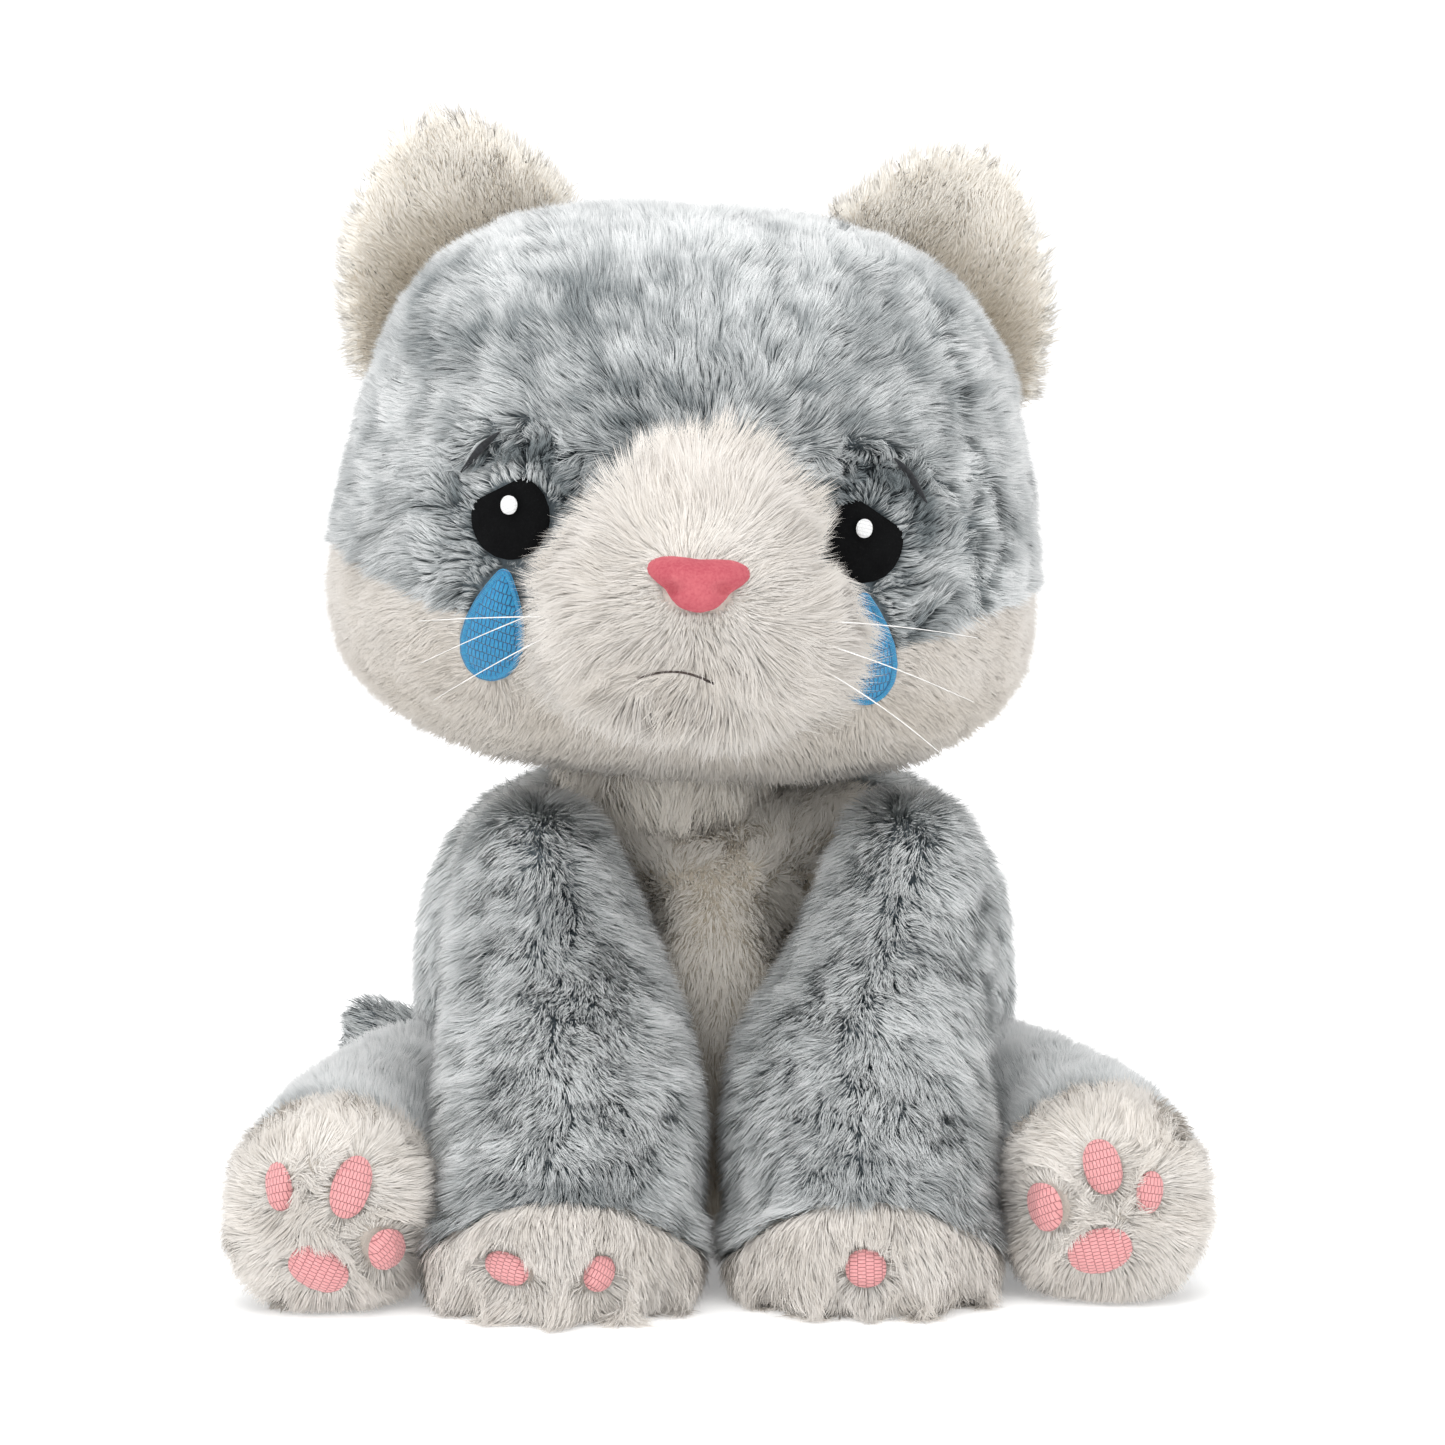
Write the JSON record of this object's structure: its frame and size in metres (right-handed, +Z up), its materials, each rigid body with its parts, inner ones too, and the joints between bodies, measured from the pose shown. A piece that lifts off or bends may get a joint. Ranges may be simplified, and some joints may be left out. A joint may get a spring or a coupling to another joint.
{
  "type": "plush cat",
  "caption": "Sitting plush kitten with long frosted pile, white muzzle and paws, teardrops under sad eyes, and sprung seams at neck, ears, legs and tail.",
  "frame": {"origin": "on the floor under the middle of the toy's box", "axes": "+Z up, the kitten faces -Y, its own left side is at +X"},
  "size_m": [0.2348, 0.217, 0.2971],
  "materials": {
    "grey_pile": "long pile plush, slate roots and frosted tips",
    "white_pile": "long pile plush",
    "cream_pile": "short pile plush",
    "fibre": "polyester stuffing",
    "calico": "plain woven bag",
    "black_felt": "short nap",
    "black_thread": "embroidery thread",
    "white_thread": "satin stitch",
    "blue_thread": "satin stitch",
    "pink_felt": "short nap velour",
    "pink_thread": "satin stitch",
    "nylon": "clear monofilament"
  },
  "bodies": {
    "torso": {"body_cover": "grey_pile", "chest_panel": "cream_pile", "body_stuffing": "fibre", "seat_bean_bag": "calico"},
    "neck": {"neck_stuffing": "fibre"},
    "head": {"head_top_cover": "grey_pile", "head_lower_cover": "white_pile", "head_stuffing": "fibre", "muzzle_cover": "white_pile", "muzzle_stuffing": "fibre", "nose": "pink_felt", "mouth_stitch": "black_thread", "eye_left": "black_felt", "eye_glint_left": "white_thread", "teardrop_left": "blue_thread", "brow_stitch_left": "black_thread", "whisker_left_1": "nylon", "whisker_left_2": "nylon", "whisker_left_3": "nylon", "eye_right": "black_felt", "eye_glint_right": "white_thread", "teardrop_right": "blue_thread", "brow_stitch_right": "black_thread", "whisker_right_1": "nylon", "whisker_right_2": "nylon", "whisker_right_3": "nylon"},
    "ear_left": {"ear_lining_left": "cream_pile", "ear_back_left": "grey_pile"},
    "ear_right": {"ear_lining_right": "cream_pile", "ear_back_right": "grey_pile"},
    "front_leg_left": {"front_leg_cover_left": "grey_pile", "front_paw_cover_left": "white_pile", "front_leg_stuffing_left": "fibre", "front_toe_pad_left_1": "pink_thread"},
    "front_leg_right": {"front_leg_cover_right": "grey_pile", "front_paw_cover_right": "white_pile", "front_leg_stuffing_right": "fibre", "front_toe_pad_right_1": "pink_thread", "front_toe_pad_right_2": "pink_thread"},
    "hind_leg_left": {"hind_leg_cover_left": "grey_pile", "hind_foot_cover_left": "white_pile", "hind_leg_stuffing_left": "fibre", "toe_pad_left_1": "pink_thread", "toe_pad_left_2": "pink_thread", "toe_pad_left_3": "pink_thread", "sole_pad_left": "pink_thread"},
    "hind_leg_right": {"hind_leg_cover_right": "grey_pile", "hind_foot_cover_right": "white_pile", "hind_leg_stuffing_right": "fibre", "toe_pad_right_1": "pink_thread", "toe_pad_right_2": "pink_thread", "toe_pad_right_3": "pink_thread", "sole_pad_right": "pink_thread"},
    "tail": {"tail_cover": "grey_pile", "tail_stuffing": "fibre"}
  },
  "joints": [
    {"name": "head_turn", "type": "hinge", "parent": "torso", "child": "neck", "pos_m": [-0.01338, 0.0117, 0.126], "axis": [0, 0, 1], "range_deg": [-30, 30], "stiffness_Nm_per_rad": 1.2},
    {"name": "head_nod", "type": "hinge", "parent": "neck", "child": "head", "pos_m": [-0.01338, 0.0117, 0.126], "axis": [1, 0, 0], "range_deg": [-8, 10], "stiffness_Nm_per_rad": 2.5},
    {"name": "ear_left_fold", "type": "hinge", "parent": "head", "child": "ear_left", "pos_m": [0.05411, 0.01547, 0.24814], "axis": [0.768, 0.0201, -0.6401], "range_deg": [-10, 10], "stiffness_Nm_per_rad": 0.15},
    {"name": "ear_right_fold", "type": "hinge", "parent": "head", "child": "ear_right", "pos_m": [-0.06703, 0.0123, 0.25619], "axis": [-0.8459, -0.0222, -0.5329], "range_deg": [-10, 10], "stiffness_Nm_per_rad": 0.15},
    {"name": "front_leg_left_swing", "type": "hinge", "parent": "torso", "child": "front_leg_left", "pos_m": [0.03992, -0.0343, 0.092], "axis": [-1, 0, 0], "range_deg": [0, 50], "stiffness_Nm_per_rad": 0.6},
    {"name": "front_leg_right_swing", "type": "hinge", "parent": "torso", "child": "front_leg_right", "pos_m": [-0.04308, -0.0343, 0.092], "axis": [-1, 0, 0], "range_deg": [0, 50], "stiffness_Nm_per_rad": 0.6},
    {"name": "hind_leg_left_splay", "type": "hinge", "parent": "torso", "child": "hind_leg_left", "pos_m": [0.07392, 0.0087, 0.0265], "axis": [0, 0, 1], "range_deg": [0, 30], "stiffness_Nm_per_rad": 0.6},
    {"name": "hind_leg_right_splay", "type": "hinge", "parent": "torso", "child": "hind_leg_right", "pos_m": [-0.07708, 0.0087, 0.0265], "axis": [0, 0, -1], "range_deg": [0, 30], "stiffness_Nm_per_rad": 0.6},
    {"name": "tail_swing", "type": "hinge", "parent": "torso", "child": "tail", "pos_m": [-0.02158, 0.0892, 0.025], "axis": [0, 0, -1], "range_deg": [-4, 40], "stiffness_Nm_per_rad": 0.2}
  ]
}
